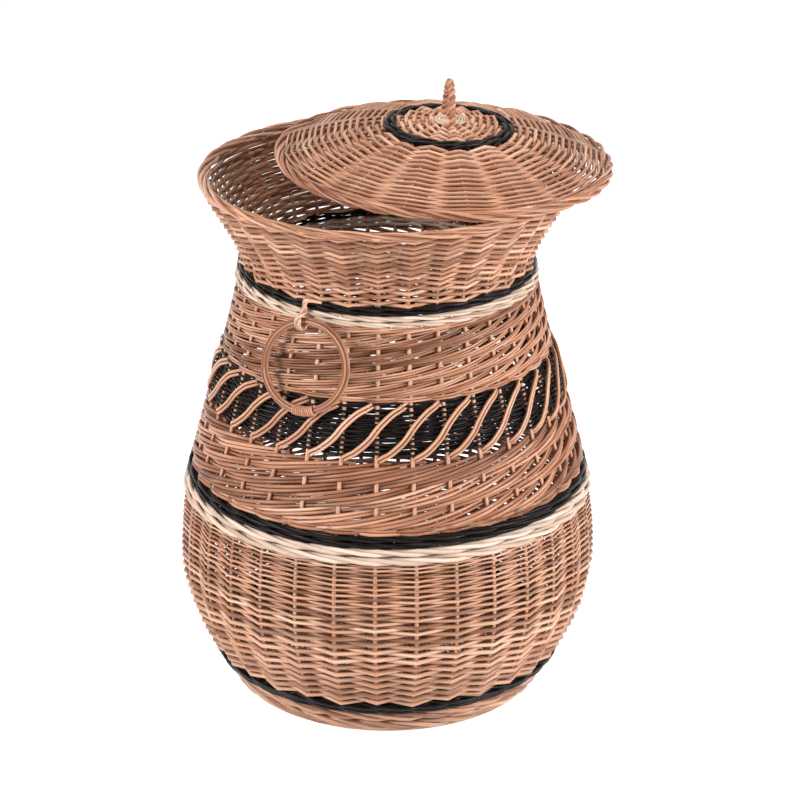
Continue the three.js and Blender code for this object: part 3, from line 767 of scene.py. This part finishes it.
lid = {
    "borderRadius": 179.0, "rise": 42.0, "domePower": 1.8, "tiltFront": 1.0, "tiltRight": 2.6, "turn": 7.5,
    "stickThick": 4.6, "apart": 3.0, "flat": 7.0, "bindings": (7.6, 10.8, 14.0, 17.0), "bindingThick": 2.4,
    "hub": 18.5, "centre": 57.5, "band": 71.0, "edge": 177.0, "centreShift": 3.6,
    "centrePitch": 4.4, "centreFill": 1.05, "lowPitch": 4.7, "edgePitch": 2.7,
    "lowFill": 1.05, "edgeFill": 1.25, "weaveTone": -0.35, "waleThick": 3.7, "waleStart": 4,
}
lidLow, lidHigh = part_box("lid_border")
lidPlace = Matrix.Translation((lidLow + lidHigh) / 2 / mm)
lidPlace = lidPlace @ Matrix.Rotation(math.radians(lid["tiltFront"]), 4, "X")
lidPlace = lidPlace @ Matrix.Rotation(math.radians(lid["tiltRight"]), 4, "Y")


def lidHeight(r):
    return lid["rise"] * (1 - (np.asarray(r, float) / lid["borderRadius"]) ** lid["domePower"])


def lidSurface(angle, r, out):
    slope = lidHeight(r + 0.5) - lidHeight(np.maximum(r - 0.5, 0))
    tilt = np.sqrt(1 + slope**2)
    reach = r - out * slope / tilt
    across = lid["centreShift"] * (1 - (r / lid["borderRadius"]) ** 2)  # the middle lies off to the right
    x = across + reach * np.cos(angle)
    return np.stack([x, reach * np.sin(angle), lidHeight(r) + out / tilt], axis=-1)


lidGround = {
    "surface": lidSurface, "stakes": crossing["stakes"], "first": math.radians(lid["turn"]),
    "stakeThick": lid["stickThick"], "steps": 4, "bow": ringBow,
}


def lidPiece(node, rods, finish):
    weavePiece(node, movedRods(rods, lidPlace), finish, body="lid")


def lidRows():
    levels, thicks = [], []
    r = lid["band"]
    while r < lid["edge"] - 1:
        pitch = float(np.interp(r, (lid["band"], lid["edge"]), (lid["lowPitch"], lid["edgePitch"])))
        fill = float(np.interp(r, (lid["band"], lid["edge"]), (lid["lowFill"], lid["edgeFill"])))
        levels.append(r + pitch / 2)
        thicks.append(fill * pitch)
        r += pitch
    return levels, thicks


lidPiece("lid_sticks", slath(lid, math.radians(lid["turn"]) + halfStep, lid["edge"], lidHeight), buff)
binding = makeRods("lid_binding_rods", movedRods(bindingRows(lidGround, lid), lidPlace), white)
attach(binding, "lid")
levels = np.arange(lid["hub"] + lid["centrePitch"] / 2, lid["centre"], lid["centrePitch"])
thicks = [lid["centreFill"] * lid["centrePitch"]] * len(levels)
lidPiece("lid_centre_weave", randing(lidGround, levels, thicks), buff)
rods = wale(lidGround, lid["centre"], lid["band"], lid["waleThick"], lid["waleStart"])
lidPiece("lid_band_black", rods, black)
lidPiece("lid_weave", randing(lidGround, *lidRows(), tone=lid["weaveTone"]), buff)
lidPiece("lid_border", rolledBorder(lid["borderRadius"], lidBorder), buff)

# Twisted and bundled rods: lid handle, ring loops, rings

plyToneSpread = 0.2
lidHandle = {
    "span": 44.0, "top": 92.6, "plyThick": 4.9, "swing": 1.9, "lay": 14.0, "root": 6.0,
    "turn": 9.6, "shift": 2.2, "points": 100, "tone": -0.7,
}


def pliedRods(line, side, turn, twine):
    ahead = np.gradient(line, axis=0)
    ahead /= np.linalg.norm(ahead, axis=1)[:, None]
    other = np.cross(ahead, side)
    rods = []
    for ply in (0, math.pi):
        outward = np.cos(turn + ply)[:, None] * side + np.sin(turn + ply)[:, None] * other
        tone = rng.normal(twine["tone"], plyToneSpread)
        rods.append(rod(line + twine["swing"] * outward, twine["plyThick"], tone=tone, outward=outward))
    return rods


def pathLength(line):
    return np.concatenate([[0], np.cumsum(np.linalg.norm(np.diff(line, axis=0), axis=1))])


def handleRods():
    radius = lidHandle["span"] / 2
    crown = lidHandle["top"] - lidHandle["plyThick"] / 2 - lidHandle["swing"]
    foot = lidHeight(radius) - lidHandle["root"]
    bend = np.linspace(0, np.pi, lidHandle["points"])
    line = np.stack([0 * bend, -radius * np.cos(bend), foot + (crown - foot) * np.sin(bend)], axis=1)
    turn = 2 * np.pi * pathLength(line) / lidHandle["lay"]
    rods = pliedRods(line, np.array((1.0, 0, 0)), turn, lidHandle)
    turned = Matrix.Translation((lidHandle["shift"], 0, 0))
    return movedRods(rods, turned @ Matrix.Rotation(math.radians(lidHandle["turn"]), 4, "Z"))


lidPiece("lid_handle", handleRods(), buff)

ringHandle = {
    "rodThick": 3.3, "wider": 0.06, "turn": 6.0, "points": 72, "tone": -1.1, "toneSpread": 0.3,
    "wander": 0.15, "waves": 3, "waveSpread": 6.0,
    # each rod's place in the bundle: outwards from the ring's centre, and off the wall
    "rods": ((-2.8, 0.3), (0, 1.1), (2.8, 0.3), (-1.5, -2.2), (1.5, -2.2)),
}
ringBinding = {"arc": 30.0, "wraps": 11, "wrapSteps": 12, "thick": 2.2, "reach": 4.75, "tone": -0.4}
ringLoop = {
    "plyThick": 3.8, "swing": 1.9, "eye": 8.4, "steps": 6, "tone": 1.3,
    "twistFrom": 2.3, "twistOver": 3.0,  # in points of the route
    "tail": 18.0, "tailThick": 4.0, "tailTaper": 0.6, "tailPoints": 6,
    "tailOut": 9.0, "tailIn": 2.5, "tailUp": 1.0, "tailBow": 4.0,
}


def ringFrame(joint, node):
    pivot = Vector(joint["pos_m"]) / mm
    low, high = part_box(node)
    centre = (low + high) / 2 / mm
    down = (centre - pivot).normalized()
    face = Vector(joint["axis"]).cross(down).normalized()
    if face.dot(Vector((pivot.x, pivot.y, 0))) < 0:
        face = -face
    side = down.cross(face)
    side *= 1 + ringHandle["wider"]
    return np.array(centre), (centre - pivot).length, np.array(side), np.array(-down), np.array(face)


def ringRods(joint, node):
    centre, radius, side, up, face = ringFrame(joint, node)
    rods = []
    angle = np.linspace(0, 2 * np.pi, ringHandle["points"], endpoint=False)[:, None]
    spoke = np.cos(angle) * side + np.sin(angle) * up
    for across, out in ringHandle["rods"]:
        wave = ringHandle["waves"] * angle + rng.uniform(0, ringHandle["waveSpread"])
        wander = ringHandle["wander"] * np.sin(wave)
        points = centre + (radius + across + wander) * spoke + out * face
        tone = rng.normal(ringHandle["tone"], ringHandle["toneSpread"])
        outward = across * spoke + out * face
        rods.append(rod(points, ringHandle["rodThick"], closed=True, tone=tone, outward=outward))
    return rods


def bindingRods(joint, node):
    centre, radius, side, up, face = ringFrame(joint, node)
    steps = ringBinding["wraps"] * ringBinding["wrapSteps"]
    t = np.linspace(-0.5, 0.5, steps + 1)[:, None]
    angle = math.radians(-90 + ringHandle["turn"]) + math.radians(ringBinding["arc"]) * t
    turn = 2 * np.pi * ringBinding["wraps"] * t
    spoke = np.cos(angle) * side + np.sin(angle) * up
    reach = ringBinding["reach"]
    points = centre + (radius + reach * np.cos(turn)) * spoke + reach * np.sin(turn) * face
    return [rod(points, ringBinding["thick"], tone=ringBinding["tone"])]


def loopRods(joint):
    pivot = Vector(joint["pos_m"]) / mm
    angle = math.atan2(pivot.y, pivot.x)
    reach = math.hypot(pivot.x, pivot.y)
    eye = ringLoop["eye"]
    low, high = bandLevels("neck_band_black")
    band = float(jarRadius((low + high) / 2))
    route = (  # distance from the axis and height, from under the ring round the black band and back
        (reach + 0.35 * eye, pivot.z - 0.95 * eye), (reach + 0.8 * eye, pivot.z - 0.6 * eye),
        (reach + eye, pivot.z), (reach + 0.8 * eye, pivot.z + 6), (band + 11, low - 1), (band + 9, high - 2),
        (band + 1, high + 2.5), (band - 6, high), (band - 8, (low + high) / 2), (band - 6, low + 1),
        (band, low - 1), (band + 6, low - 3), (reach - eye, pivot.z),
        (reach - 0.7 * eye, pivot.z - 0.7 * eye), (reach, pivot.z - eye),
    )
    line = throughPoints(route, ringLoop["steps"])
    radial = np.array((math.cos(angle), math.sin(angle), 0))
    points = line[:, :1] * radial + line[:, 1:] * np.array((0, 0, 1))
    step = np.arange(len(line)) / ringLoop["steps"]
    share = np.clip((step - ringLoop["twistFrom"]) / ringLoop["twistOver"], 0, 1)
    twist = 2 * np.pi * share  # one turn in front of the bands
    tangent = np.array((-math.sin(angle), math.cos(angle), 0))
    rods = pliedRods(points, tangent, twist, ringLoop)
    t = np.linspace(0, 1, ringLoop["tailPoints"])
    tailAngle = angle + ringLoop["tail"] * t / band
    r = band + ringLoop["tailOut"] - ringLoop["tailIn"] * t
    height = high + ringLoop["tailUp"] + ringLoop["tailBow"] * t * (1 - t)
    tail = np.stack([r * np.cos(tailAngle), r * np.sin(tailAngle), height], axis=1)
    rods.append(rod(tail, ringLoop["tailThick"], taper=ringLoop["tailTaper"], tone=ringLoop["tone"]))
    return rods


joints = {joint["name"]: joint for joint in frame["joints"]}
for hand in ("left", "right"):
    joint = joints[f"ring_{hand}_swing"]
    ring = f"ring_handle_{hand}"
    weavePiece(f"ring_loop_{hand}", loopRods(joint), buff)
    weavePiece(ring, ringRods(joint, ring), buff, body=f"ring_{hand}")
    weavePiece(f"ring_binding_{hand}", bindingRods(joint, ring), buff, body=f"ring_{hand}")

# Stage: pale floor, soft light, camera at the photograph's view

stage = {"floorSize": 14.0, "floorColour": 0.8, "floorRough": 0.9, "floorGlow": 0.74, "domeLight": 0.1}
lamps = (
    {"name": "leftLamp", "at": (-2.7, -1.3, 1.7), "size": 1.2, "watts": 108.0},
    {"name": "rightLamp", "at": (2.7, -1.2, 1.5), "size": 1.2, "watts": 117.0},
    {"name": "topLamp", "at": (-0.3, 0.0, 3.2), "size": 0.8, "watts": 28.0},
    {"name": "frontLamp", "at": (0.1, -2.9, 2.0), "size": 1.0, "watts": 25.0},
)
view = {"at": (0, -3.32609, 1.72862), "pitch": 22.8105, "lens": 144.0, "shift": 0.0159}


def seenDirectly(tree):
    path = addNode(tree, "ShaderNodeLightPath")
    mirrored = mathNode(tree, "MAXIMUM", path.outputs["Is Glossy Ray"], path.outputs["Is Transmission Ray"])
    return mathNode(tree, "MAXIMUM", path.outputs["Is Camera Ray"], mirrored)


def makeFloor():
    bpy.ops.object.select_all(action="DESELECT")
    bpy.ops.mesh.primitive_plane_add(size=stage["floorSize"])
    floor = bpy.context.object
    floor.name = "floor"
    material = bpy.data.materials.new("paleFloor")
    material.use_nodes = True
    tree = material.node_tree
    shader = tree.nodes["Principled BSDF"]
    shader.inputs["Base Color"].default_value = (*[stage["floorColour"]] * 3, 1)
    shader.inputs["Roughness"].default_value = stage["floorRough"]
    shader.inputs["Specular IOR Level"].default_value = 0.0
    shader.inputs["Emission Color"].default_value = (1, 1, 1, 1)
    glow = mathNode(tree, "MULTIPLY", seenDirectly(tree), stage["floorGlow"])
    tree.links.new(glow, shader.inputs["Emission Strength"])
    floor.data.materials.append(material)


def makeWorld():
    world = bpy.data.worlds.new("studio")
    world.use_nodes = True
    bpy.context.scene.world = world
    tree = world.node_tree
    background = tree.nodes["Background"]
    background.inputs["Color"].default_value = (1, 1, 1, 1)
    lift = mathNode(tree, "MULTIPLY", seenDirectly(tree), 1 - stage["domeLight"])
    tree.links.new(mathNode(tree, "ADD", lift, stage["domeLight"]), background.inputs["Strength"])


def makeLamp(name, at, size, watts):
    bpy.ops.object.light_add(type="AREA", location=at)
    lamp = bpy.context.object
    lamp.name = name
    lamp.data.energy = watts
    lamp.data.size = size
    middle = (cadLow + cadHigh) / 2
    lamp.rotation_euler = (middle - lamp.location).to_track_quat("-Z", "Y").to_euler()


def makeCamera():
    bpy.ops.object.camera_add(location=view["at"], rotation=(math.radians(90 - view["pitch"]), 0, 0))
    camera = bpy.context.object
    camera.data.lens = view["lens"]
    camera.data.shift_x = view["shift"]
    bpy.context.scene.camera = camera


makeFloor()
makeWorld()
for lamp in lamps:
    makeLamp(**lamp)
makeCamera()
bpy.context.scene.view_settings.view_transform = "Standard"
print("stage made")
